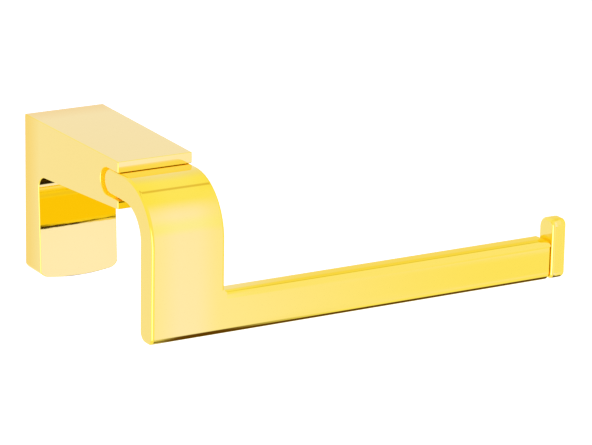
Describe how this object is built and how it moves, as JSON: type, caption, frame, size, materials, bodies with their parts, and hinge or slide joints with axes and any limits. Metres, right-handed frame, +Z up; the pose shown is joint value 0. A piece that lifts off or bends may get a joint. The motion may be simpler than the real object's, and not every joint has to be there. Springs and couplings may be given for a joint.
{
  "type": "toilet paper holder",
  "caption": "Wall bracket with a hollow tapering arm and a bent strap that turns into an open flat bar with an end stop, in polished gold.",
  "frame": {"origin": "centre of the wall plate's back face, on the wall, half way up the bracket", "axes": "+X along the bar towards its end stop, +Y into the wall, +Z up"},
  "size_m": [0.1519, 0.1049, 0.053],
  "materials": {
    "bracket_gold": "polished gold plate",
    "arm_gold": "polished gold plate",
    "stop_gold": "polished gold plate",
    "zinc_plate": "bright zinc-plated pressed steel",
    "steel": "zinc-plated steel",
    "black_steel": "black oxide steel",
    "brass": "turned brass",
    "nylon": "moulded nylon"
  },
  "bodies": {
    "wall_mount": {"wall_plate": "zinc_plate", "wall_screw_upper": "steel", "wall_screw_lower": "steel", "wall_plug_upper": "nylon", "wall_plug_lower": "nylon"},
    "holder": {"bracket_body": "bracket_gold", "roll_arm": "arm_gold", "arm_screw_left": "black_steel", "arm_screw_right": "black_steel", "arm_washer_left": "steel", "arm_washer_right": "steel", "arm_bush_left": "brass", "arm_bush_right": "brass", "end_stop": "stop_gold", "end_stop_stud": "steel"},
    "clamp_screw": {"set_screw": "black_steel"}
  },
  "joints": [
    {"name": "holder_pull_off", "type": "slide", "parent": "wall_mount", "child": "holder", "axis": [0, -1, 0], "range_m": [0, 0.025]},
    {"name": "set_screw_travel", "type": "slide", "parent": "holder", "child": "clamp_screw", "axis": [0, 0, -1], "range_m": [0, 0.0028]}
  ]
}
